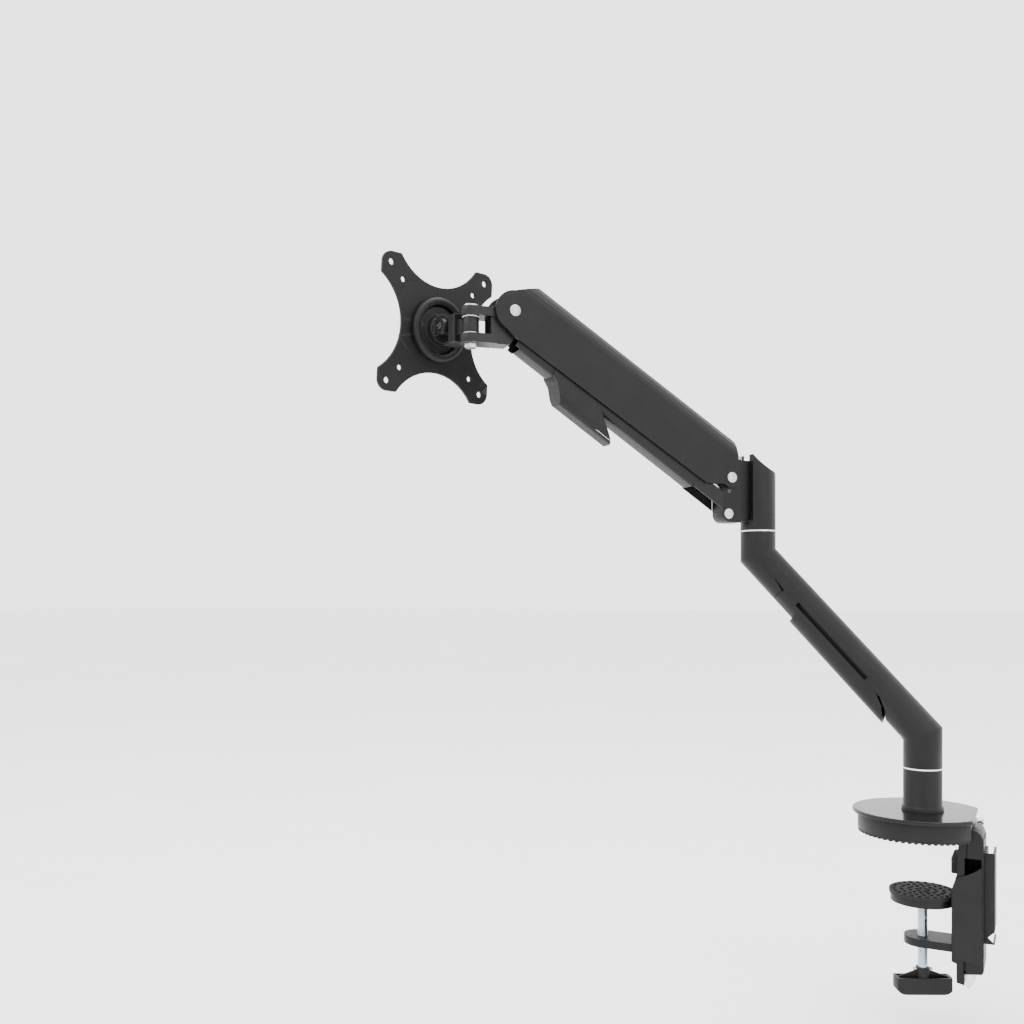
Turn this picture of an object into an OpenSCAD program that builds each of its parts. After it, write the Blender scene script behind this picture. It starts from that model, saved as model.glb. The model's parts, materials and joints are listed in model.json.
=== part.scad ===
// Desk-clamp monitor arm with a gas-spring upper arm, drawn in millimetres.
// Origin: centre of the base underside, on the post axis, where the base rests on the desk top.
// +Z is up, +X runs from the desk top out past its edge, to the clamp bracket.

/* [Base] */
// Radius of the round base cover
cover_r = 56; // [50:1:64]
// Shift of the base disc from the post axis, away from the desk edge
base_shift = 3; // [0:0.5:6]
// Distance from the post axis to the straight cut on the clamp side of the base
chord_x = 43; // [41:0.5:45]
// Height of the top of the base cover at its rim
cover_top_z = 20.4; // [19:0.2:24]
// Outer diameter of the post and of both arm columns
post_d = 32.5; // [31:0.5:34]
// Height of the bright ring between the base post and the lower arm
base_ring_z = 57; // [54:0.5:62]

/* [Clamp] */
// Width of the clamp bracket along the desk edge
bracket_w = 40; // [34:1:46]
// Height of the pad face below the desk top surface
pad_top_z = -49.3; // [-56:0.1:-45]
// Diameter of the clamp pad
pad_d = 56; // [50:1:56]
// Nominal diameter of the clamp screw
screw_d = 8; // [8:1:10]
// Height of the upper face of the clamp tongue
tongue_z = -90; // [-94:1:-88]
// Half length of the T-handle
handle_half = 24.6; // [22:0.2:24.6]

/* [Lower arm] */
// Horizontal distance from the post axis to the elbow axis
lower_reach = 146; // [140:1:152]
// Height where the inclined tube's axis meets the post axis
bend_low_z = 87.7; // [86:0.1:92]
// Height where the inclined tube's axis meets the elbow axis
bend_top_z = 248.1; // [244:0.1:250]
// Height of the bright ring under the elbow column
elbow_ring_z = 270.3; // [270:0.1:272]

/* [Upper arm] */
// Direction of the upper arm seen from above, from +X anticlockwise
arm_yaw = 229; // [180:1:270]
// Distance from the elbow column axis to the lift pin
pin_reach = 37.6; // [36:0.2:40]
// Height of the lift pin
lift_pin_z = 319; // [317:0.5:321]
// Distance from the lift pin to the nose pin
arm_len = 252.8; // [245:0.2:260]
// Slope of the upper arm above the horizontal
arm_slope = 31.6; // [20:0.1:40]
// Outer width of the upper arm shell
arm_w = 26; // [25:0.5:28]
// Radius of the rounded nose end of the shell
nose_r = 17.3; // [16:0.1:18]

/* [Head] */
// Distance from the nose pin to the pan axis
pan_reach = 35.5; // [34:0.5:38]
// Pan angle of the head from straight ahead
pan_turn = -72; // [-80:1:0]
// Upward tilt of the monitor plate
plate_tilt = 4.6; // [0:0.1:10]
// Distance from the pan axis to the tilt axis
tilt_reach = 31; // [31:0.5:33]
// Outer width of the monitor plate
plate_w = 118; // [116:1:122]
// Side of the larger square hole pattern of the monitor plate
vesa_outer = 100; // [100]
// Side of the smaller square hole pattern of the monitor plate
vesa_inner = 75; // [75]

/* [Hidden] */
$fn = 64;
eps = 0.01;
fit = 0.05;
gap = 0.4;
post_r = post_d / 2;
ring_h = 1.5;
screw_r = screw_d / 2;
pin_r = 3;

// base heights
pad_h = 2.5;
cover_h = 3.4;
body_top_z = cover_top_z - cover_h;
body_r = cover_r - 4.5;

// spindles on which the columns turn
spindle_r = 9;
bush_r = 11;
bush_h = 22;
lower_bush_z = base_ring_z + ring_h + 1;
upper_bush_z = elbow_ring_z + ring_h + 1;

// bracket outline, X outward and Z up
bracket_in = 25.1;
bracket_out = 50.3;
bracket_low = -121;
bracket_half = bracket_w / 2;
hook_x = 30;
hook_z = 10.4;

// inclined tube of the lower arm
tube_tilt = atan2(lower_reach, bend_top_z - bend_low_z);
tube_len = norm([lower_reach, bend_top_z - bend_low_z]);
tube_r = post_r - 0.02;
clip_low = 30;
clip_high = 175;
slot_low = 66;
slot_high = 156;

// upper arm
arm_half = arm_w / 2;
wall = 2.2;
inner_half = arm_half - wall;
side_top = 16.3;
arch_rise = 18.9;
side_low = -19;
run = arm_len * cos(arm_slope);
rise = arm_len * sin(arm_slope);
nose_z = lift_pin_z + rise;
link_dx = -6;
link_dz = 10.5;
link_pin_r = 1.75;
cross_pin_dz = -33;
spring_dz = -12;
spring_line = -10.35;
cover_low = -23.6;
cover_turn = 1.5;
yoke_half = 8.9;
yoke_in = 4.5;
head_r = 4.9;

// head
prong_half = 9.5;
pan_z = -13.2;
barrel_h = 14.6;
prong_h = 7.6;
tilt_z = 4.5;
plate_x = 18;
plate_h = 3;
ring_in = 21;
ring_out = 28;

// ---------- frames ----------
module in_tube() translate([0, 0, bend_low_z]) rotate([0, -tube_tilt, 0]) children();
module in_elbow() translate([-lower_reach, 0, 0]) rotate([0, 0, arm_yaw]) children();
module in_lift() in_elbow() translate([pin_reach, 0, lift_pin_z]) children();
module in_arm() in_lift() rotate([0, -arm_slope, 0]) children();
module in_nose() in_elbow() translate([pin_reach + run, 0, nose_z]) children();
module in_pan() in_nose() translate([pan_reach, 0, pan_z]) rotate([0, 0, pan_turn]) children();
module in_tilt() in_pan() translate([tilt_reach, 0, tilt_z]) rotate([0, -plate_tilt, 0]) children();

// ---------- helpers ----------
function arc(c, r, a0, a1, n) = [for (i = [0:n]) let (a = a0 + (a1 - a0) * i / n) c + r * [cos(a),
    sin(a)]];
module tube(r_out, r_in, h) difference() {
    cylinder(r = r_out, h = h);
    translate([0, 0, -1]) cylinder(r = r_in, h = h + 2);
}
module across(r, half) rotate([90, 0, 0]) cylinder(r = r, h = 2 * half, center = true);
module along(r, len) rotate([0, 90, 0]) cylinder(r = r, h = len);
module side_plate(half) rotate([90, 0, 0]) linear_extrude(2 * half, center = true) children();
module bead(r, height, h) translate([0, 0, h]) rotate_extrude() intersection() {
    translate([0, height - (r * r + height * height) / (2 * height)])
        circle(r = (r * r + height * height) / (2 * height), $fn = 96);
    square([r, height]);
}
// a round pin across the arm with a low domed head at each end
module headed_pin(r, half, head_half, dome) {
    across(r, half + eps);
    for (s = [-1, 1]) rotate([-90 * s, 0, 0]) {
        translate([0, 0, half]) cylinder(r = head_half, h = 0.9);
        bead(head_half, dome, half + 0.9);
    }
}

// ---------- base ----------
module base_outline(r, cut) difference() {
    translate([-base_shift, 0]) circle(r = r, $fn = 128);
    translate([cut, -r]) square([r, 2 * r]);
}
module hook_pocket() translate([hook_x - gap, -bracket_half - gap, -1]) cube([40, bracket_w + 2 *
    gap, hook_z + 1.6]);

module base_body() color("dimgray") difference() {
    translate([0, 0, pad_h]) linear_extrude(body_top_z - pad_h) base_outline(body_r, chord_x - 2);
    hook_pocket();
    translate([0, 0, -1]) cylinder(r = spindle_r, h = 40);
    // screw holes on both sides of the post
    for (s = [-1, 1]) translate([36, s * 12, 0]) {
        cylinder(r = 2.5, h = 20);
        translate([0, 0, 13.4]) cylinder(r = 4.4, h = 5);
    }
}
module base_cover() color("black") difference() {
    union() {
        translate([0, 0, body_top_z]) linear_extrude(cover_h - 0.8) base_outline(cover_r, chord_x);
        translate([0, 0, cover_top_z - 0.8 - eps]) linear_extrude(0.8) base_outline(cover_r - 0.8,
            chord_x - 0.8);
    }
    translate([0, 0, body_top_z - 1]) cylinder(r = post_r + 1.4, h = 10);
}
rib_count = 60;
module base_pad() color("black") {
    difference() {
        translate([0, 0, 1]) linear_extrude(pad_h - 1) base_outline(body_r - 0.4, chord_x - 2.4);
        hook_pocket();
    }
    cylinder(r = 26, h = 1.2);
    intersection() {
        linear_extrude(1.2) difference() {
            base_outline(body_r - 0.4, chord_x - 2.4);
            translate([hook_x - gap, -bracket_half - gap]) square([40, bracket_w + 2 * gap]);
        }
        union() for (i = [0:rib_count - 1]) rotate([0, 0, i * 360 / rib_count])
            translate([25, -1.3, 0]) cube([32, 2.6, 1.2]);
    }
}
module base_post() color("black") difference() {
    union() {
        translate([0, 0, body_top_z]) cylinder(r = post_r, h = base_ring_z - body_top_z);
        translate([0, 0, body_top_z]) cylinder(r = post_r + 1.2, h = 6.4);
        translate([0, 0, body_top_z + 6.4]) cylinder(r1 = post_r + 1.2, r2 = post_r, h = 1.6);
    }
    translate([0, 0, body_top_z - 1]) cylinder(r = spindle_r, h = 60);
}
module base_spindle() color("silver") translate([0, 0, pad_h]) cylinder(r = spindle_r, h =
    lower_bush_z + bush_h + 1.6 - pad_h);
module spindle_circlip() color("silver") translate([0, 0, lower_bush_z + bush_h + 0.3])
    tube(spindle_r + 2, spindle_r, 1);
module base_ring() color("silver") translate([0, 0, base_ring_z]) tube(post_r + 0.2, spindle_r,
    ring_h - 0.3);

// ---------- clamp bracket ----------
module bracket_profile() {
    translate([40.6, 1.2]) circle(r = 9.2);
    polygon([
        [31.4, 1.2], [hook_x, -8], [hook_x, -14], [29, -30], [bracket_in, -42], [bracket_in, -103.5],
        [29, -105], [29, bracket_low], [35.2, bracket_low - 1.4], [35.2, -113], [48.9, -111.2],
            [bracket_out, -109],
        [bracket_out, 2], [49.8, 1.2]
    ]);
}
module clamp_bracket() color("dimgray") difference() {
    side_plate(bracket_half) bracket_profile();
    // flat recess for the rim of the clamp pad
    translate([20, -16, -88.4]) cube([8.9, 32, 62]);
    // hollow behind the side cover, open towards the near side
    translate([35.4, -bracket_half - 1, -99]) cube([13.2, 35, 85]);
    // upright grooves above and below the side cover
    translate([36.6, -bracket_half - 1, -15]) cube([1.1, 2.4, 17]);
    translate([34.4, -bracket_half - 1, -112]) cube([2.2, 4, 10]);
    // pocket of the clear tip
    translate([37.4, -bracket_half + 1.4, -114]) cube([6.6, 4, 7]);
    // slots for the tongue bolts
    for (s = [-1, 1]) translate([20, s * 8, tongue_z - 3.5]) along(2.5, 20);
    for (s = [-1, 1]) translate([36, s * 12, -8]) cylinder(r = 2.5, h = 30);
}
// the near face of the bracket carries a cover with a slanted upper edge
module bracket_cover() color("black") {
    translate([0, -bracket_half - 0.8, 0]) side_plate(0.8) polygon([
        [bracket_in + 0.7, -43], [29.4, -31], [33, -29.4], [38, -27.6], [43, -24.8], [48.8, -20.4],
        [49.2, -103], [36, -101.6], [bracket_in + 0.7, -101.6]
    ]);
    translate([36.6, -bracket_half - 0.1, -97]) cube([10.8, 2.4, 66]);
}
// clear tip of the strap end under the bracket
module strap_tip() color("white") translate([0, -bracket_half + 3.4, 0]) side_plate(2) polygon([
    [36, -113.2], [37.4, -113], [37.4, -107], [44, -107], [44, -112.2], [44.6, -112.1], [43.6, -117],
    [39.4, -124.4], [37.4, -124.8], [36, -121.4]
]);
module rear_cable_clip() color("black") difference() {
    translate([bracket_out, -15, -86]) cube([8.3, 30, 77]);
    translate([bracket_out + 1.6, -13.4, -90]) cube([5.1, 26.8, 90]);
    // slot on the far side through which the cables are pressed in
    translate([bracket_out + 2, 10, -90]) cube([4.4, 8, 90]);
    translate([bracket_out + 8.3 + 3, 20, -89]) rotate([90, 0, 0]) rotate([0, 0, 45]) cube([12, 12,
        50], center = false);
}
module edge_bumper() color("black") side_plate(bracket_half - 4) polygon([
    [bracket_in, -15], [hook_x - 0.1, -15], [28.9, -29], [bracket_in, -29], [bracket_in - 0.6, -28],
        [bracket_in - 0.6, -16]
]);
module tongue_outline() {
    circle(r = 15.5);
    translate([0, -15.5]) square([bracket_in, 31]);
}
module clamp_tongue() color("dimgray") difference() {
    translate([0, 0, tongue_z - 7]) linear_extrude(7) tongue_outline();
    translate([0, 0, tongue_z - 8]) cylinder(r = screw_r + fit, h = 9);
    for (s = [-1, 1]) translate([12, s * 8, tongue_z - 3.5]) along(2.5, 20);
}
module tongue_bolts() color("silver") for (s = [-1, 1]) translate([12, s * 8, tongue_z - 3.5]) {
    along(2.5, 25);
    translate([24.4, 0, 0]) along(4.4, 4);
}
module bracket_screws() color("silver") for (s = [-1, 1]) translate([36, s * 12, 0]) {
    translate([0, 0, -7.5]) cylinder(r = 2.5, h = 21);
    translate([0, 0, 13.4]) difference() {
        cylinder(r = 4.4, h = 3.4);
        translate([0, 0, 1.4]) cylinder(r = 2, h = 3, $fn = 6);
    }
}
module release_knob() color("silver") translate([chord_x - 2, -4, 13.5]) {
    cube([3, 8, 3.4]);
    translate([2.9, 4, 1.7]) along(2, 3.5);
    translate([6.2, 4, 1.7]) along(3.2, 2.2);
}

// ---------- clamp screw and pad ----------
module pad_cup() color("dimgray") translate([0, 0, pad_top_z - 10.6]) difference() {
    union() {
        cylinder(r = pad_d / 2 - 1.2, h = 6.6);
        translate([0, 0, -1.2]) cylinder(r = 9, h = 1.4);
    }
    translate([0, 0, -2]) cylinder(r = screw_r + gap, h = 4);
    translate([0, 0, 1.6]) cylinder(r = 7.4, h = 3.4);
}
module pad_rubber() color("black") translate([0, 0, pad_top_z - 4]) {
    cylinder(r = pad_d / 2, h = 3.2);
    for (ring = [0:3]) for (i = [0:5 + 6 * ring]) rotate([0, 0, i * 360 / (6 + 6 * ring)])
        translate([4.5 + 6.6 * ring, 0, 3.1]) cylinder(r = 1.5, h = 0.9, $fn = 16);
}
module clamp_screw() color("silver") {
    translate([0, 0, pad_top_z - 8.6]) cylinder(r = 7, h = 2.6);
    difference() {
        translate([0, 0, -128]) cylinder(r = screw_r, h = pad_top_z - 8.5 + 128);
        rotate([0, 0, grip_turn]) translate([-12, 0, handle_pin_z]) along(1.25, 24);
    }
}
grip_turn = 27;
grip_low = -141;
grip_top = -126.6;
module grip_side() polygon(concat(
    arc([8 - handle_half, grip_low + 9], 9, 180, 270, 6),
    arc([handle_half - 8, grip_low + 9], 9, 270, 360, 6),
    [[handle_half + 1, grip_top], [-handle_half - 1, grip_top]]
));
module t_handle() color("black") rotate([0, 0, grip_turn]) difference() {
    union() {
        // hollow grip, open at the top
        difference() {
            intersection() {
                side_plate(6.8) grip_side();
                translate([0, 0, -150]) cylinder(r = handle_half, h = 40);
            }
            translate([3 - handle_half, -5.2, grip_low + 2.8]) cube([2 * handle_half - 6, 10.4, 30]);
        }
        translate([0, 0, grip_low + 2]) cylinder(r = 5.8, h = 20.8);
        // slanted web from the hub to both ends
        side_plate(0.9) polygon([
            [2 - handle_half, grip_low + 2], [handle_half - 2, grip_low + 2], [handle_half - 2,
                grip_top - 0.4],
            [4, grip_low + 20.6], [-4, grip_low + 20.6], [2 - handle_half, grip_top - 0.4]
        ]);
    }
    translate([0, 0, -129]) cylinder(r = screw_r, h = 20);
    translate([-12, 0, handle_pin_z]) along(1.25, 24);
}
handle_pin_z = -119.9;
module handle_pin() color("silver") rotate([0, 0, grip_turn]) translate([-8.2, 0, handle_pin_z])
    along(1.25, 16.4);

// ---------- lower arm ----------
module mitre_keep(z, x, below) translate([x, 0, z]) rotate([0, -tube_tilt / 2, 0])
    translate([-400, -60, below ? -400 : 0]) cube([800, 120, 400]);
module lower_arm_solid() {
    intersection() {
        translate([0, 0, base_ring_z + ring_h]) cylinder(r = post_r, h = 80);
        mitre_keep(bend_low_z, 0, true);
    }
    intersection() {
        in_tube() translate([0, 0, -60]) cylinder(r = tube_r, h = tube_len + 120);
        mitre_keep(bend_low_z, 0, false);
        mitre_keep(bend_top_z, -lower_reach, true);
    }
    intersection() {
        translate([-lower_reach, 0, bend_top_z - 80]) cylinder(r = post_r, h = elbow_ring_z -
            bend_top_z + 80);
        mitre_keep(bend_top_z, -lower_reach, false);
    }
}
// side outlines under the tube: first coordinate up the tube, second away from its axis
channel_edge = 3.2;
module in_tube_side(half) in_tube() rotate([0, -90, 0]) side_plate(half) children();
module liner_region() intersection() {
    translate([46, 66]) circle(r = 62.8, $fn = 96);
    translate([2.4, 0]) square([50.8, 30]);
}
module channel_outline() {
    translate([53, channel_edge]) square([clip_high - 53, 30]);
    liner_region();
    // dark seam above the clip
    polygon([[clip_high - 2, 3.6], [clip_high + 14, 0.2], [clip_high - 2, 1.6]]);
    // narrow groove at mid depth
    translate([slot_low, -0.8]) square([slot_high - slot_low, 6]);
}
module lower_arm() color("dimgray") difference() {
    lower_arm_solid();
    difference() {
        in_tube_side(40) channel_outline();
        in_tube() translate([-9.6, -8, 53]) cube([30, 16, 400]);
    }
    translate([0, 0, base_ring_z]) cylinder(r = bush_r, h = bush_h + ring_h + 3.4);
    translate([-lower_reach, 0, elbow_ring_z - 20]) cylinder(r = spindle_r, h = 40);
}
module clip_section(r, drop) mirror([1, 0]) intersection() {
    translate([drop, 0]) circle(r = r);
    translate([channel_edge, -30]) square([60, 60]);
}
module arm_cable_clip() color("black") difference() {
    union() {
        // flush tail at the top end, proud cover below it
        in_tube() translate([0, 0, slot_high - 8]) linear_extrude(clip_high - slot_high + 7.6)
            clip_section(tube_r, 0);
        in_tube() translate([0, 0, clip_low - 2]) linear_extrude(slot_high - clip_low - 4)
            clip_section(15.6, 4.4);
    }
    // inside of the trough
    in_tube() translate([0, 0, -20]) linear_extrude(slot_high + 14) mirror([1, 0]) {
        translate([4.4, 0]) circle(r = 13.6);
        translate([-2, -13.6]) square([6.4, 27.2]);
    }
    in_tube() translate([0, 0, -20]) linear_extrude(tube_len) mirror([1, 0]) circle(r = post_r - 2.2);
    // slanted lower end
    in_tube_side(30) polygon([[20, 24], [27, 22], [31, 16], [40, 8], [53.2, 3], [53.2, -5], [0, -5],
        [0, 24]]);
}
module cable_liner() color("gray") difference() {
    intersection() {
        lower_arm_solid();
        in_tube_side(30) difference() {
            liner_region();
            polygon([[22, 24], [26.6, 16], [35.6, 8], [48.8, 2.4], [60, 2], [60, 30], [22, 30]]);
        }
    }
    // cable way through the middle
    in_tube() translate([-40, -6.5, -20]) cube([29, 13, 100]);
    translate([0, 0, base_ring_z]) cylinder(r = bush_r, h = bush_h + ring_h + 3.4);
}
module lower_arm_bush() color("ivory") translate([0, 0, lower_bush_z]) tube(bush_r, spindle_r + fit,
    bush_h);
spindle_top = elbow_ring_z + ring_h + bush_h + 1.5;
module elbow_spindle() color("silver") translate([-lower_reach, 0, elbow_ring_z - 20]) difference() {
    cylinder(r = spindle_r, h = spindle_top - elbow_ring_z + 20);
    translate([0, 0, spindle_top - elbow_ring_z + 8]) cylinder(r = 3, h = 30);
}
module elbow_ring() color("silver") translate([-lower_reach, 0, elbow_ring_z]) tube(post_r + 0.2,
    spindle_r, ring_h - 0.3);

// ---------- elbow ----------
flat_x = 12.6;
bolt_z = [286, 302];
bolt_x = [bush_r + 0.3, 8];
module elbow_column() color("dimgray") in_elbow() difference() {
    translate([0, 0, elbow_ring_z + ring_h]) cylinder(r = post_r, h = 348.1 - elbow_ring_z - ring_h);
    // concave cut that leaves a peak on the arm side, then a low rounded shoulder
    translate([-15.95, 0, 357.6]) across(32.2, 40);
    side_plate(40) polygon([[-8.6, 326.2], [-11.8, 324.6], [-14.4, 321.8], [-17, 317.4], [-30,
        317.4], [-30, 380], [-8.6, 380]]);
    translate([flat_x, -30, elbow_ring_z + 9]) cube([30, 60, 100]);
    translate([0, 0, 306]) cylinder(r = post_r - 3, h = 60);
    translate([0, 0, elbow_ring_z]) cylinder(r = bush_r, h = bush_h + ring_h + 3.4);
    // seat for the cap screw
    translate([0, 0, 280]) cylinder(r = 5, h = 40);
    for (i = [0, 1]) translate([bolt_x[i] - 1.6, 0, bolt_z[i]]) along(2.5, 30);
}
module elbow_bush() color("ivory") translate([-lower_reach, 0, upper_bush_z]) tube(bush_r, spindle_r
    + fit, bush_h);
module elbow_cap_screw() color("silver") translate([-lower_reach, 0, 0]) difference() {
    union() {
        translate([0, 0, spindle_top - 12 + eps]) cylinder(r = 3, h = 14);
        translate([0, 0, spindle_top]) cylinder(r = 5 - fit, h = 12);
        translate([0, 0, 306.4]) cylinder(r = 9, h = 3.6);
    }
    translate([0, 0, 307.4]) cylinder(r = 3, h = 5, $fn = 6);
}
yoke_back = 25 - pin_reach;
module yoke_plate_outline() difference() {
    union() {
        translate([yoke_back, -41]) square([-yoke_back - 1, 58.8]);
        translate([-1, cross_pin_dz]) circle(r = 8);
        circle(r = 8);
        translate([yoke_back, -31]) square([7.4 - yoke_back, 44]);
    }
    translate([0, 0]) circle(r = pin_r);
}
module elbow_yoke() color("dimgray") in_lift() difference() {
    union() {
        side_plate(yoke_half) yoke_plate_outline();
        translate([flat_x - pin_reach, -4.4, -38]) cube([14.2, 8.8, 55.8]);
        for (s = [-1, 1]) rotate([-90 * s, 0, 0]) translate([0, 0, yoke_half - 1]) cylinder(r = 7, h
            = inner_half - gap - yoke_half + 1);
    }
    // slot for the rod and the link, closed at the lower lug except round the bolt head
    translate([slot_back, -yoke_in, -24]) cube([40, 2 * yoke_in, 80]);
    translate([slot_back, -yoke_in, -38]) cube([5.6, 2 * yoke_in, 20]);
    across(pin_r, 20);
    translate([0, 0, cross_pin_dz]) across(pin_r, 20);
    for (s = [-1, 1]) translate([0, 0, cross_pin_dz]) rotate([-90 * s, 0, 0])
        translate([0, 0, yoke_half - 1.3]) cylinder(r = head_r + 0.1, h = 4);
    translate([link_dx, 0, link_dz]) across(link_pin_r, 20);
    translate([0, 0, spring_dz]) across(2, 20);
    for (z = bolt_z) translate([-40, 0, z - lift_pin_z]) along(2.5, 40);
    translate([-14.4, 0, 2]) cylinder(r = 1.75, h = 30);
}
slot_back = -10.6;
module yoke_bolts() color("silver") in_elbow() for (i = [0, 1]) {
    translate([bolt_x[i], 0, bolt_z[i]]) along(2.5, pin_reach + slot_back - bolt_x[i] + 1);
    translate([pin_reach + slot_back, 0, bolt_z[i]]) along(4.2, 2.4);
}
module lift_pin() color("silver") in_lift() headed_pin(pin_r, arm_half + 0.3, head_r, 0.9);
module cross_pin() color("silver") in_lift() translate([0, 0, cross_pin_dz]) headed_pin(pin_r,
    yoke_half - 1.3, head_r, 0.35);
module link_pin_elbow() color("silver") in_lift() translate([link_dx, 0, link_dz]) across(link_pin_r,
    yoke_half);
module spring_anchor() color("silver") in_lift() translate([0, 0, spring_dz]) across(2, yoke_half);
module tension_screw() color("silver") in_lift() translate([-14.4, 0, 0]) {
    translate([0, 0, 4]) cylinder(r = 1.75, h = 14.2);
    translate([0, 0, 17.8]) difference() {
        cylinder(r = 4, h = 4);
        translate([0, 0, 1.5]) cylinder(r = 2, h = 3, $fn = 6);
    }
}

// ---------- upper arm ----------
arch_steps = 12;
function arch_z(y, half, base, rise) = base + rise * pow(max(0, 1 - pow(y / half, 2)), 0.6);
module shell_section(half, base, rise, low) polygon(concat(
    [[-half, low], [half, low]],
    [for (i = [0:arch_steps]) let (y = half * cos(180 * i / arch_steps)) [y, arch_z(y, half, base, rise)]]
));
module along_arm_section(x0, x1) in_arm() translate([x0, 0, 0]) rotate([90, 0, 90]) linear_extrude(x1
    - x0) children();
nose_c = [arm_len, 0];
module shell_side() difference() {
    polygon(concat(
        arc([0, 0], 9.4, 215, 290, 8),
        [[13, -15.6]],
        arc([22, side_low + 8], 8, 240, 270, 4),
        [[arm_len - 10, side_low]],
        arc(nose_c, nose_r, 265, 419, 30),
        [[arm_len - 13, 37], [arm_len - 13, 60], [-30, 60], [-30, 16]]
    ));
    // vertical rear end
    rotate([0, 0, -arm_slope]) translate([-68, -60]) square([60, 160]);
}
module arm_shell() color("dimgray") difference() {
    intersection() {
        along_arm_section(-40, arm_len + 30) shell_section(arm_half, side_top, arch_rise, -40);
        in_arm() side_plate(arm_half + 1) shell_side();
    }
    intersection() {
        along_arm_section(-60, arm_len + 60) shell_section(inner_half, side_top - 1.5, arch_rise -
            0.9, -60);
        in_arm() side_plate(30) polygon([
            [-60, -60], [arm_len + 60, -60], [arm_len + 60, 14.2], [arm_len + 7.1, 14.2],
            [arm_len - 15.5, 37], [arm_len - 15.5, 60], [-60, 60]
        ]);
    }
    in_lift() across(pin_r + fit, 30);
    in_nose() across(pin_r, 30);
    in_arm() translate([224, 0, spring_line]) across(2, 11.8);
    // shallow step along the flanks above the crease line
    for (s = [-1, 1]) in_arm() difference() {
        translate([0, s * (arm_half + 1.3), 0]) side_plate(2) polygon([
            [-20, 6.6], [8, 5.4], [60, 2.6], [130, 0.7], [218, 1.8], [222, 60], [-20, 60]
        ]);
        across(8.4, 30);
    }
}
// the bottom cover deepens slightly from the nose to the elbow
module in_cover() in_arm() translate([240, 0, 0]) rotate([0, -cover_turn, 0]) translate([-240, 0, 0])
    children();
module along_cover_section(x0, x1) in_cover() translate([x0, 0, 0]) rotate([90, 0, 90])
    linear_extrude(x1 - x0) children();
cover_half = inner_half - 0.3;
module bottom_cover_section() difference() {
    union() {
        translate([-cover_half, cover_low + 4]) square([2 * cover_half, -cover_low - 20]);
        translate([-cover_half + 4, cover_low]) square([2 * cover_half - 8, 7]);
        for (s = [-1, 1]) translate([s * (cover_half - 4), cover_low + 4]) circle(r = 4);
    }
    translate([-cover_half + 1.2, cover_low + 4]) square([2 * cover_half - 2.4, 30]);
    translate([-cover_half + 5, cover_low + 1.2]) square([2 * cover_half - 10, 8]);
    for (s = [-1, 1]) translate([s * (cover_half - 4), cover_low + 4]) circle(r = 2.8);
}
module arm_bottom_cover() color("dimgray") difference() {
    along_cover_section(-10, 240) bottom_cover_section();
    // the middle is open at the yoke and at the nose bracket
    in_arm() translate([-30, -cover_half + 1.2, -60]) cube([56, 2 * cover_half - 2.4, 80]);
    in_arm() translate([232, -cover_half + 1.2, -60]) cube([46, 2 * cover_half - 2.4, 80]);
    in_arm() side_plate(30) difference() {
        translate([228, -40]) square([30, 40]);
        translate([228, -12.4]) circle(r = 12);
    }
    // slanted rear end, in front of the lower pin
    in_arm() side_plate(30) polygon([[-40, -45], [-9.4, -45], [-9.4, -28], [1, -14], [-40, -14]]);
}
scoop_low = -40;
module scoop_side(inset) polygon([
    [197, -18], [194, cover_low + inset], [187, cover_low - 3.6 + inset], [175, scoop_low + inset],
    [116, scoop_low + inset], [146, -18]
]);
module scoop_section(half) {
    translate([-half, scoop_low + 6.4]) square([2 * half, 14]);
    translate([-half + 6.4, scoop_low + (11.5 - half)]) square([2 * half - 12.8, 12]);
    for (s = [-1, 1]) translate([s * (half - 6.4), scoop_low + 6.4 + (11.5 - half)]) circle(r = 6.4);
}
module cable_scoop() color("black") difference() {
    intersection() {
        in_cover() side_plate(20) scoop_side(0);
        along_cover_section(100, 214) scoop_section(11.5);
    }
    intersection() {
        in_cover() side_plate(20) scoop_side(1.8);
        along_cover_section(60, 184) scoop_section(9.7);
    }
    in_cover() translate([104, -9.7, scoop_low + 1.8]) cube([36, 19.4, 22]);
    // seat on the bottom cover
    in_cover() translate([94, -cover_half - 0.1, cover_low]) cube([126, 2 * cover_half + 0.2, 20]);
    in_arm() translate([94, -20, side_low - 0.4]) cube([126, 40, 20]);
}
cyl_r = 7;
module gas_cylinder() color("dimgray") in_arm() difference() {
    union() {
        translate([52, 0, spring_line]) along(cyl_r, 160);
        translate([211, 0, spring_line]) along(4, 8);
        translate([224, 0, spring_line]) across(5.4, 4);
        translate([212, -4, spring_line - 4]) cube([12, 8, 8]);
    }
    translate([50, 0, spring_line]) along(4.05, 150);
    translate([224, 0, spring_line]) across(2, 20);
}
module cylinder_pin() color("silver") in_arm() translate([224, 0, spring_line]) across(2, 11.6);
module nose_pin() color("silver") in_nose() headed_pin(pin_r, arm_half, head_r, 0.9);
module shell_bushes() color("ivory") in_nose() for (s = [-1, 1]) rotate([-90 * s, 0, 0])
    translate([0, 0, inner_half - 0.4]) tube(7.6, pin_r, 0.4);
module gas_rod() color("silver") in_arm() difference() {
    union() {
        translate([-8.5 * 12 / 17 - 0.3 + 5, 0, spring_line]) along(4, 130);
        translate([spring_dz * sin(arm_slope), 0, spring_line]) across(6.3, 3.9);
    }
    translate([spring_dz * sin(arm_slope), 0, spring_line]) across(4.1, 20);
}

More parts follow.
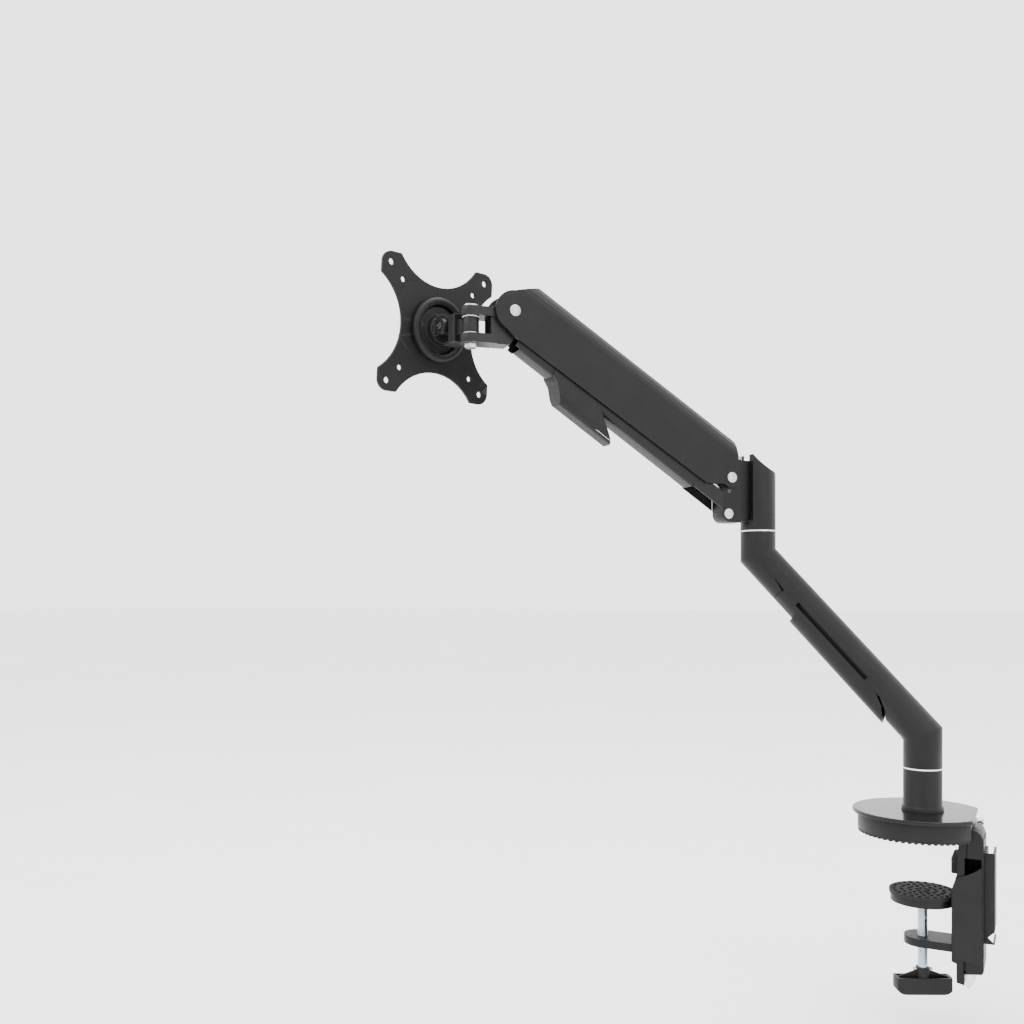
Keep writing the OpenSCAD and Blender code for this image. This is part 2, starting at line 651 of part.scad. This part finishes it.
// ---------- levelling link, in the shell above the pin line ----------
link_perp = -link_dx * sin(arm_slope) + link_dz * cos(arm_slope);
link_start = link_dx * cos(arm_slope) + link_dz * sin(arm_slope);
module level_link() color("gray") in_arm() translate([link_start, 0, link_perp]) difference() {
    union() {
        across(4, 3);
        translate([arm_len, 0, 0]) across(4, 3);
        translate([0, -3, -3]) cube([arm_len, 6, 6]);
    }
    across(link_pin_r + fit, 20);
    translate([arm_len, 0, 0]) across(link_pin_r + 0.6, 20);
    for (i = [1:4]) translate([arm_len * i / 5, 0, 0]) {
        cube([28, 20, 3], center = true);
        for (d = [-14, 14]) translate([d, 0, 0]) across(1.5, 20);
    }
}

// ---------- nose bracket ----------
web_front = 20;
module bracket_side() {
    circle(r = 14);
    translate([link_dx, link_dz]) circle(r = 4);
    polygon([
        [10, 9.5], [16, 4], [web_front, 2.2], [web_front, pan_z - barrel_h / 2 - prong_h - 0.3],
        [3, pan_z - barrel_h / 2 - prong_h - 0.3], [-12, -7], [-10, 5]
    ]);
}
module prong(z) translate([0, 0, z]) difference() {
    union() {
        translate([pan_reach, 0, 0]) cylinder(r = prong_half, h = prong_h);
        translate([web_front - 5, -prong_half, 0]) cube([pan_reach - web_front + 5, 2 * prong_half,
            prong_h]);
    }
    translate([pan_reach, 0, -1]) cylinder(r = 4, h = prong_h + 2);
}
prong_gap = barrel_h / 2 + 0.3;
module nose_bracket() color("dimgray") in_nose() difference() {
    union() {
        side_plate(8) bracket_side();
        across(12, inner_half - 0.75);
        prong(pan_z + prong_gap);
        prong(pan_z - prong_gap - prong_h);
    }
    // slot in which the levelling link swings
    difference() {
        translate([-24, -3.4, -24]) cube([26.5, 6.8, 48]);
        across(3.7, 10);
        translate([-30, -10, -40]) cube([60, 20, 26]);
    }
    across(pin_r + fit, 30);
    translate([link_dx, 0, link_dz]) across(link_pin_r, 20);
}
module link_pin_nose() color("silver") in_nose() translate([link_dx, 0, link_dz]) across(link_pin_r, 8);
module pan_bolt() color("silver") in_nose() translate([pan_reach, 0, pan_z]) {
    translate([0, 0, -prong_gap - prong_h - 4]) cylinder(r = 4, h = 2 * prong_gap + 2 * prong_h + 4);
    translate([0, 0, prong_gap + prong_h - eps]) difference() {
        cylinder(r = 6.6, h = 2);
        translate([0, 0, 0.8]) cylinder(r = 2.5, h = 3, $fn = 6);
    }
}
module pan_nut() color("silver") in_nose() translate([pan_reach, 0, pan_z - prong_gap - prong_h -
    3.6]) difference() {
    cylinder(r = 5.6, h = 3.6, $fn = 6);
    translate([0, 0, -1]) cylinder(r = 4, h = 6);
}

// ---------- pan and tilt head ----------
module pan_neck() color("dimgray") in_pan() difference() {
    union() {
        translate([0, 0, -barrel_h / 2 + 0.65]) cylinder(r = 7.2, h = barrel_h - 1.3);
        translate([0, -5.5, -barrel_h / 2 + 0.65]) cube([14, 11, barrel_h - 1.3]);
        translate([11.6, -8.4, -12]) cube([9.6, 16.8, 24]);
        translate([20, -5.2, tilt_z - 6.6]) cube([tilt_reach - 20, 10.4, 13.2]);
        translate([tilt_reach, 0, tilt_z]) across(6.6, 5.2);
        translate([12, -7, -12]) cube([19, 14, 2.4]);
    }
    // round clearance for the ends of the prongs
    for (s = [-1, 1]) translate([0, 0, s > 0 ? prong_gap - 0.4 : -prong_gap - prong_h - 1])
        cylinder(r = prong_half + 1, h = prong_h + 1.4);
    translate([0, 0, -30]) cylinder(r = 4 + fit, h = 60);
    translate([tilt_reach, 0, tilt_z]) across(3, 20);
}
module pan_washers() color("ivory") in_pan() for (z = [-barrel_h / 2, barrel_h / 2 - 0.65])
    translate([0, 0, z]) tube(7.2, 4 + fit, 0.65);
module tilt_pin() color("silver") in_pan() translate([tilt_reach, 0, tilt_z]) across(3, 10.8);
module tilt_hub() color("dimgray") in_tilt() difference() {
    union() {
        translate([15.2, 0, 0]) along(20.2, plate_x - 15.8);
        translate([8.4, 0, 0]) along(13, 8);
        for (s = [-1, 1]) {
            translate([0, s * 8, 0]) across(6.6, 2.2);
            translate([0, s * 8 - 2.2, -6.6]) cube([10, 4.4, 13.2]);
        }
    }
    across(3 + fit, 20);
    along(2.5 + fit, 40);
}
module hub_washer() color("ivory") in_tilt() translate([plate_x - 0.6, 0, 0]) rotate([0, 90, 0])
    tube(20.2, 2.6, 0.3);
plate_half = plate_w / 2;
waist = 37.5;
arc_r = 48;
module plate_outline() difference() {
    union() {
        square([plate_w - 19, plate_w], center = true);
        square([plate_w, plate_w - 19], center = true);
        for (sx = [-1, 1]) for (sy = [-1, 1]) translate([sx, sy] * (plate_half - 9.5)) circle(r = 9.5);
    }
    for (a = [0:90:270]) rotate([0, 0, a]) translate([waist + arc_r, 0]) circle(r = arc_r, $fn = 96);
    for (p = [vesa_outer, vesa_inner]) for (sx = [-1, 1]) for (sy = [-1, 1])
        translate([sx, sy] * p / 2) circle(r = p == vesa_outer ? 2.6 : 2.3, $fn = 32);
    circle(r = 2.6);
}
module vesa_plate() color("black") in_tilt() translate([plate_x, 0, 0]) rotate([90, 0, 90])
    linear_extrude(plate_h) plate_outline();
module hub_ring() color("dimgray") in_tilt() rotate([0, 90, 0]) rotate_extrude($fn = 96) {
    translate([(ring_in + ring_out) / 2, plate_x - 3.6]) circle(r = (ring_out - ring_in) / 2, $fn = 48);
    translate([ring_in, plate_x - 3.6]) square([ring_out - ring_in, 3.6]);
}
module hub_screw() color("silver") in_tilt() {
    translate([9, 0, 0]) along(2.5, plate_x + plate_h - 8.5);
    translate([plate_x + plate_h, 0, 0]) along(5, 1.6);
}

// ---------- output ----------
base_body();
base_cover();
base_pad();
base_post();
base_spindle();
base_ring();
spindle_circlip();
clamp_bracket();
bracket_cover();
rear_cable_clip();
strap_tip();
edge_bumper();
clamp_tongue();
tongue_bolts();
bracket_screws();
release_knob();
pad_cup();
pad_rubber();
clamp_screw();
t_handle();
handle_pin();
lower_arm();
arm_cable_clip();
cable_liner();
lower_arm_bush();
elbow_spindle();
elbow_ring();
elbow_column();
elbow_bush();
elbow_yoke();
elbow_cap_screw();
yoke_bolts();
lift_pin();
cross_pin();
link_pin_elbow();
spring_anchor();
tension_screw();
arm_shell();
arm_bottom_cover();
cable_scoop();
gas_cylinder();
cylinder_pin();
nose_pin();
shell_bushes();
gas_rod();
level_link();
nose_bracket();
link_pin_nose();
pan_bolt();
pan_nut();
pan_neck();
pan_washers();
tilt_pin();
tilt_hub();
hub_washer();
vesa_plate();
hub_ring();
hub_screw();
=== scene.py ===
"""Desk-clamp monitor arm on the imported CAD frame: materials, fine pieces, studio light and camera."""

import json
from math import cos, pi, radians, sin

import bmesh
import bpy
from mathutils import Matrix, Vector


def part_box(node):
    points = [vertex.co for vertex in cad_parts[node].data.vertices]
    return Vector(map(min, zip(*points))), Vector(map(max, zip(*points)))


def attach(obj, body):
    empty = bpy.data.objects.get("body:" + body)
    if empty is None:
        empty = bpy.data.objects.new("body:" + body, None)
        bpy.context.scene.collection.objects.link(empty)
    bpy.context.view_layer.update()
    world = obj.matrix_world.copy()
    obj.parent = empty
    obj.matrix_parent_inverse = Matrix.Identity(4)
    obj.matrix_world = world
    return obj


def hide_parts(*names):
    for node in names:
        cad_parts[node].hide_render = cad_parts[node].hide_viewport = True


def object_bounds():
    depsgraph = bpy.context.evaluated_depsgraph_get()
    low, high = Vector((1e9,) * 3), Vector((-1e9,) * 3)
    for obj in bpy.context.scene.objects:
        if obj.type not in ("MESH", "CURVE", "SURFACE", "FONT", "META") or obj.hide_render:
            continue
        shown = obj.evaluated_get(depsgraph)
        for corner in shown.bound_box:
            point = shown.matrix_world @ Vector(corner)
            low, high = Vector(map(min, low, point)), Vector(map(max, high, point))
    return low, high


MM = 0.001
BLACK_SPECULAR = 0.17  # the black finishes reflect less than plain plastic does

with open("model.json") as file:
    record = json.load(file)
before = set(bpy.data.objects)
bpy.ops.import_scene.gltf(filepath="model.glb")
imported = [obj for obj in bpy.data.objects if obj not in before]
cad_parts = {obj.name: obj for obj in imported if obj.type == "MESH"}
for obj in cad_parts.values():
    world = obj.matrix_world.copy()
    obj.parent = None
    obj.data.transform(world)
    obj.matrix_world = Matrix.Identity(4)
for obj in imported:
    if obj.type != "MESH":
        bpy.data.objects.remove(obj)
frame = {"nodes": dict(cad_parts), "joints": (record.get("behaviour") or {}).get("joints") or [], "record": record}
cad_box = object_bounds()
nodes = frame["nodes"]
joints = {j["name"]: j for j in frame["joints"]}


# ---------- materials ----------
def new_material(name):
    material = bpy.data.materials.new(name)
    material.use_nodes = True
    tree = material.node_tree
    tree.nodes.clear()
    output = tree.nodes.new("ShaderNodeOutputMaterial")
    shader = tree.nodes.new("ShaderNodeBsdfPrincipled")
    tree.links.new(shader.outputs["BSDF"], output.inputs["Surface"])
    return material, tree, shader


def noise(tree, scale, detail=4.0, roughness=0.55, stretch=None):
    """A noise texture in the object's own metres; stretch squeezes it along the axes."""
    coordinates = tree.nodes.new("ShaderNodeTexCoord")
    texture = tree.nodes.new("ShaderNodeTexNoise")
    texture.inputs["Scale"].default_value = scale
    texture.inputs["Detail"].default_value = detail
    texture.inputs["Roughness"].default_value = roughness
    if stretch:
        mapping = tree.nodes.new("ShaderNodeMapping")
        mapping.inputs["Scale"].default_value = stretch
        tree.links.new(coordinates.outputs["Object"], mapping.inputs["Vector"])
        tree.links.new(mapping.outputs["Vector"], texture.inputs["Vector"])
    else:
        tree.links.new(coordinates.outputs["Object"], texture.inputs["Vector"])
    return texture.outputs["Fac"]


def spread(tree, value, low, high, start=0.3, stop=0.7):
    """Maps a texture's middle range to a range of plain numbers."""
    node = tree.nodes.new("ShaderNodeMapRange")
    node.inputs["From Min"].default_value = start
    node.inputs["From Max"].default_value = stop
    node.inputs["To Min"].default_value = low
    node.inputs["To Max"].default_value = high
    tree.links.new(value, node.inputs["Value"])
    return node.outputs["Result"]


def two_tone(tree, value, dark, light, start=0.35, stop=0.65):
    ramp = tree.nodes.new("ShaderNodeValToRGB")
    ramp.color_ramp.elements[0].position = start
    ramp.color_ramp.elements[0].color = (*dark, 1)
    ramp.color_ramp.elements[1].position = stop
    ramp.color_ramp.elements[1].color = (*light, 1)
    tree.links.new(value, ramp.inputs["Fac"])
    return ramp.outputs["Color"]


def bump(tree, shader, height, strength, distance):
    node = tree.nodes.new("ShaderNodeBump")
    node.inputs["Strength"].default_value = strength
    node.inputs["Distance"].default_value = distance
    tree.links.new(height, node.inputs["Height"])
    tree.links.new(node.outputs["Normal"], shader.inputs["Normal"])


def painted_edge_highlight(tree, base, highlight_colour, low, high):
    """A painted edge highlight: mixes a lighter colour in where the surface is convex, broken up by noise."""
    geometry = tree.nodes.new("ShaderNodeNewGeometry")
    edge = spread(tree, geometry.outputs["Pointiness"], 0.0, 1.0, low, high)
    broken = spread(tree, noise(tree, 900, 3), 0.0, 1.0, 0.45, 0.7)
    both = tree.nodes.new("ShaderNodeMath")
    both.operation = "MULTIPLY"
    tree.links.new(edge, both.inputs[0])
    tree.links.new(broken, both.inputs[1])
    mix = tree.nodes.new("ShaderNodeMix")
    mix.data_type = "RGBA"
    mix.inputs["B"].default_value = (*highlight_colour, 1)
    tree.links.new(both.outputs["Value"], mix.inputs["Factor"])
    tree.links.new(base, mix.inputs["A"])
    return mix.outputs["Result"]


def powder_coat(name, dark, light, rough=(0.42, 0.52), grain=1500, depth=0.00006):
    """Painted metal: fine orange peel, slight change of tone and gloss."""
    material, tree, shader = new_material(name)
    colour = two_tone(tree, noise(tree, 35, 3), dark, light)
    # the colour of the painted edge highlight, a little lighter than the coat
    edge = tuple(min(1, c * 1.7) for c in light)
    tree.links.new(painted_edge_highlight(tree, colour, edge, 0.53, 0.6), shader.inputs["Base Color"])
    tree.links.new(spread(tree, noise(tree, 220, 5), *rough), shader.inputs["Roughness"])
    shader.inputs["Specular IOR Level"].default_value = BLACK_SPECULAR
    bump(tree, shader, noise(tree, grain, 2), 0.14, depth)
    return material


def moulded(name, dark, light, rough=(0.5, 0.62), grain=2600, depth=0.00005):
    """Moulded plastic with a fine spark-eroded grain."""
    material, tree, shader = new_material(name)
    tree.links.new(two_tone(tree, noise(tree, 60, 4), dark, light), shader.inputs["Base Color"])
    tree.links.new(spread(tree, noise(tree, 300, 4), *rough), shader.inputs["Roughness"])
    shader.inputs["Specular IOR Level"].default_value = BLACK_SPECULAR
    bump(tree, shader, noise(tree, grain, 3), 0.3, depth)
    return material


def metal(name, dark, light, rough=(0.18, 0.3), stretch=(1, 1, 1), scale=260, depth=0.00002):
    """Bare or plated metal with fine marks, along the axes that stretch gives, and a slight tarnish."""
    material, tree, shader = new_material(name)
    tree.links.new(two_tone(tree, noise(tree, 90, 4), dark, light), shader.inputs["Base Color"])
    shader.inputs["Metallic"].default_value = 1.0
    tree.links.new(spread(tree, noise(tree, scale, 4, stretch=stretch), *rough), shader.inputs["Roughness"])
    bump(tree, shader, noise(tree, scale * 3, 2, stretch=stretch), 0.25, depth)
    return material


TURNED = (1, 1, 30)  # marks that run round a vertical axis


def clear(name):
    """Clear plastic, slightly clouded, for the end of the strap."""
    material, tree, shader = new_material(name)
    colour = two_tone(tree, noise(tree, 200, 3), (0.7, 0.72, 0.74), (0.85, 0.86, 0.87))
    tree.links.new(colour, shader.inputs["Base Color"])
    tree.links.new(spread(tree, noise(tree, 400, 3), 0.12, 0.24), shader.inputs["Roughness"])
    shader.inputs["Transmission Weight"].default_value = 0.55
    shader.inputs["IOR"].default_value = 1.49
    bump(tree, shader, noise(tree, 900, 2), 0.1, 0.00003)
    return material


BLACK = powder_coat(
    "black_powder_coat", (0.0032, 0.0033, 0.0035), (0.0046, 0.0047, 0.0049), (0.4, 0.5), 3200, 0.00003
)
SATIN = powder_coat(
    "black_satin_head", (0.0065, 0.0066, 0.0069), (0.009, 0.0091, 0.0095), (0.33, 0.42), 3200, 0.00002
)
GLOSS = moulded(
    "gloss_black_cover", (0.005, 0.005, 0.0053), (0.0075, 0.0075, 0.0078), (0.15, 0.21), 300, 0.000004
)
PLASTIC = moulded("black_plastic", (0.004, 0.004, 0.0042), (0.0058, 0.0058, 0.006), (0.42, 0.54))
COVER = moulded("satin_black_cover", (0.0052, 0.0053, 0.0055), (0.0072, 0.0073, 0.0075), (0.38, 0.48))
RUBBER = moulded("rubber", (0.006, 0.006, 0.006), (0.01, 0.01, 0.01), (0.6, 0.75), 1800, 0.0001)
RING = metal("bright_ring", (0.66, 0.66, 0.66), (0.74, 0.74, 0.74), (0.12, 0.2), TURNED)
NICKEL = metal("nickel", (0.4, 0.385, 0.355), (0.5, 0.48, 0.445), (0.22, 0.34))
ZINC = metal("zinc_steel", (0.36, 0.43, 0.48), (0.48, 0.54, 0.59), (0.24, 0.38))
DARK = metal("blackened_steel", (0.03, 0.03, 0.032), (0.05, 0.05, 0.053), (0.35, 0.5))
STEEL = metal("link_steel", (0.16, 0.16, 0.165), (0.22, 0.22, 0.225), (0.35, 0.5))
ACETAL = moulded("acetal", (0.7, 0.69, 0.64), (0.8, 0.79, 0.74), (0.35, 0.5))
CLEAR = clear("clear_plastic")

FINISH = {
    "black_powder_coat": BLACK,
    "gloss_black_plastic": GLOSS,
    "black_plastic": PLASTIC,
    "grey_plastic": COVER,
    "clear_plastic": CLEAR,
    "rubber": RUBBER,
    "bright_ring": RING,
    "nickel": NICKEL,
    "zinc_steel": ZINC,
    "acetal": ACETAL,
    "spring_body": DARK,
    "link_steel": STEEL,
}


def dress(obj, material):
    obj.data.materials.clear()
    obj.data.materials.append(material)


def soften(obj, width, segments=2):
    """Small rounded edges on a CAD node, which keeps its mesh."""
    weld = obj.modifiers.new("weld", "WELD")
    weld.merge_threshold = 1e-6
    bevel = obj.modifiers.new("bevel", "BEVEL")
    bevel.width = width
    bevel.segments = segments
    bevel.limit_method = "ANGLE"
    bevel.angle_limit = radians(50)
    bevel.use_clamp_overlap = True
    bevel.miter_outer = "MITER_ARC"


for entry in frame["record"]["subparts"]:
    dress(nodes[entry["node"]], FINISH[entry["material_slot"]])
for name in ("nose_bracket", "pan_neck", "tilt_hub"):
    dress(nodes[name], SATIN)

# the nodes with rounded edges, by the edges' width in millimetres
EDGES = {
    0.3: ("hub_ring", "cross_pin", "pan_nut", "tension_screw"),
    0.4: ("cable_scoop", "base_post", "pan_bolt"),
    0.5: ("lower_arm", "bracket_cover", "edge_bumper", "pad_cup", "release_knob"),
    0.6: ("arm_cable_clip", "elbow_column", "pan_neck", "vesa_plate", "base_body", "clamp_tongue"),
    0.7: ("elbow_yoke", "tilt_hub", "rear_cable_clip", "t_handle", "lift_pin", "nose_pin"),
    0.8: ("nose_bracket", "clamp_bracket"),
    0.9: ("arm_shell", "base_cover"),
}
for width, names in EDGES.items():
    for name in names:
        soften(nodes[name], width * MM, 3 if name.endswith("_pin") else 2)


# ---------- fine pieces ----------
def add_piece(name, mesh_tool, body, material):
    """Makes an object of a bmesh, smooth shaded, that rides on a body."""
    mesh = bpy.data.meshes.new(name)
    mesh_tool.to_mesh(mesh)
    mesh_tool.free()
    for face in mesh.polygons:
        face.use_smooth = True
    piece = bpy.data.objects.new(name, mesh)
    bpy.context.scene.collection.objects.link(piece)
    dress(piece, material)
    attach(piece, body)
    return piece


def bridge(tool, a, b):
    """Faces between two rows of as many points."""
    for k in range(len(a) - 1):
        tool.faces.new((a[k], b[k], b[k + 1], a[k + 1]))


THREAD_PITCH = 1.25 * MM
# profile of the thread: millimetres out from the shank and up along it
THREAD_PROFILE = ((-0.05, -0.5), (0.16, -0.28), (0.26, -0.06), (0.26, 0.06), (0.16, 0.28), (-0.05, 0.5))


def screw_thread():
    """A rolled V thread on the clamp screw, between its handle and its collar."""
    low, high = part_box("clamp_screw")
    shank = [v.co for v in nodes["clamp_screw"].data.vertices if v.co.z < low[2] + 30 * MM]
    radius = max((v.x ** 2 + v.y ** 2) ** 0.5 for v in shank)
    steps = 28
    start, stop = low[2] + 12 * MM, high[2] - 4 * MM
    tool = bmesh.new()
    rows = []
    for i in range(int((stop - start) / THREAD_PITCH * steps)):
        angle = 2 * pi * i / steps
        z = start + THREAD_PITCH * i / steps
        row = []
        for out, up in THREAD_PROFILE:
            r = radius + out * MM
            row.append(tool.verts.new((r * cos(angle), r * sin(angle), z + up * MM)))
        rows.append(row)
    for a, b in zip(rows, rows[1:]):
        bridge(tool, a, b)
    tool.faces.new(rows[0])
    tool.faces.new(rows[-1][::-1])
    add_piece("clamp_screw_thread", tool, "clamp_spindle", ZINC)


def arm_axes():
    """The upper arm's own frame: along the arm from the lift pin, across it, and up from it."""
    along = Vector(joints["gas_rod_slide"]["axis"]).normalized()
    across = -Vector(joints["lift"]["axis"]).normalized()
    origin = Vector(joints["lift"]["pos_m"])
    return Matrix((along, across, along.cross(across))).transposed(), origin


COVER_WALL_TOP = -15.5 * MM  # above the lower edge of the shell
COVER_CORNER = 4 * MM
COVER_SKIN = 1.2 * MM
END_LEAN = 0.62  # how far the rear end leans forward for each unit of height


def bottom_cover():
    """A bent channel under the arm, whose walls reach up behind the edges of the shell."""
    turn, origin = arm_axes()
    local = [turn.transposed() @ (v.co - origin) for v in nodes["arm_bottom_cover"].data.vertices]
    half = max(abs(v.y) for v in local)
    rear, front = min(v.x for v in local), max(v.x for v in local)
    open_rear, open_front = rear + 38 * MM, front - 8 * MM
    deep_rear = min(v.z for v in local)
    deep_front = min(v.z for v in local if v.x > open_front)

    def low(x):
        share = (x - rear) / (front - rear)
        return deep_rear + (deep_front - deep_rear) * share

    def section(x):
        bottom = low(x)
        points = [(-half, COVER_WALL_TOP), (-half, (COVER_WALL_TOP + bottom + COVER_CORNER) / 2)]
        for i in range(7):
            angle = pi / 2 * i / 6
            inward, down = 1 - cos(angle), 1 - sin(angle)
            points.append((-half + COVER_CORNER * inward, bottom + COVER_CORNER * down))
        return points + [(-y, z) for y, z in reversed(points)]

    def slanted(x, z):
        """The rear end leans forward towards its top, ahead of the lower pin."""
        return x + max(0, z - low(x)) * END_LEAN

    tool = bmesh.new()

    def place(x, y, z):
        return tool.verts.new(origin + turn @ Vector((x, y, z)))

    spans = 24
    stations = [open_rear + (open_front - open_rear) * i / spans for i in range(spans + 1)]
    rows = [[place(x, y, z) for y, z in section(x)] for x in stations]
    for a, b in zip(rows, rows[1:]):
        bridge(tool, a, b)
    # side plates beside the yoke and beside the nose bracket, where the channel has no floor
    lip = 0.4 * MM
    for edge_row, x, end in ((rows[0], open_rear, rear), (rows[-1], open_front, front)):
        inner = section(x)
        for side, columns in ((-1, (0, 1, 2)), (1, (-1, -2, -3))):
            near = [edge_row[c] for c in columns] + [place(x, side * half, low(x) + lip)]
            heights = [inner[c][1] for c in columns] + [low(end) + lip]
            far = [place(slanted(end, z) if end == rear else end - 3 * MM, side * half, z) for z in heights]
            bridge(tool, near, far)
    bmesh.ops.recalc_face_normals(tool, faces=tool.faces)
    piece = add_piece("bottom_cover_channel", tool, "upper_arm", COVER)
    skin_tool = piece.modifiers.new("skin", "SOLIDIFY")
    skin_tool.thickness = COVER_SKIN
    skin_tool.offset = -1 if piece.data.polygons[0].normal.dot(-turn.col[1]) > 0 else 1
    piece.modifiers.new("edges", "EDGE_SPLIT").split_angle = radians(35)
    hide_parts("arm_bottom_cover")


screw_thread()
bottom_cover()

# ---------- floor, light and camera ----------
CAMERA_AT = Vector((0.1011, -0.9730, 0.2051))
CAMERA_TURN = radians(27.71)
CAMERA_LENS = 36.13
CAMERA_SHIFT = 0.0866


def make_camera():
    data = bpy.data.cameras.new("camera")
    data.sensor_width = 36
    data.lens = CAMERA_LENS
    data.shift_y = CAMERA_SHIFT
    data.clip_end = 100
    camera = bpy.data.objects.new("camera", data)
    camera.location = CAMERA_AT
    camera.rotation_euler = (radians(90), 0, CAMERA_TURN)
    bpy.context.scene.collection.objects.link(camera)
    bpy.context.scene.camera = camera


def make_floor():
    drop = joints["clamp_travel"]["range_m"][0]  # the handle stays above the floor at its lowest too
    low = cad_box[0][2] + drop - 2 * MM
    mesh = bpy.data.meshes.new("floor")
    half = 40
    corners = [(x * half, y * half, low) for x, y in ((-1, -1), (1, -1), (1, 1), (-1, 1))]
    mesh.from_pydata(corners, [], [(0, 1, 2, 3)])
    floor = bpy.data.objects.new("floor", mesh)
    bpy.context.scene.collection.objects.link(floor)
    material, tree, shader = new_material("floor")
    colour = two_tone(tree, noise(tree, 3, 2), (0.88, 0.88, 0.88), (0.9, 0.9, 0.9))
    tree.links.new(colour, shader.inputs["Base Color"])
    shader.inputs["Roughness"].default_value = 0.9
    dress(floor, material)


def area_light(name, place, target, size, power):
    data = bpy.data.lights.new(name, "AREA")
    data.shape = "RECTANGLE"
    data.size, data.size_y = size
    data.energy = power
    light = bpy.data.objects.new(name, data)
    light.location = place
    light.rotation_euler = (Vector(target) - Vector(place)).to_track_quat("-Z", "Y").to_euler()
    bpy.context.scene.collection.objects.link(light)


def make_light():
    world = bpy.data.worlds.new("studio")
    world.use_nodes = True
    world.node_tree.nodes["Background"].inputs["Color"].default_value = (1, 1, 1, 1)
    world.node_tree.nodes["Background"].inputs["Strength"].default_value = 3.0
    bpy.context.scene.world = world
    middle = (-0.12, 0, 0.18)
    area_light("key", (-0.9, -1.2, 1.5), middle, (1.2, 1.2), 16)
    area_light("fill", (1.3, -0.9, 0.7), middle, (1.0, 1.4), 6)
    area_light("top", (-0.1, -0.1, 2.0), middle, (1.8, 1.8), 45)


make_camera()
make_floor()
make_light()
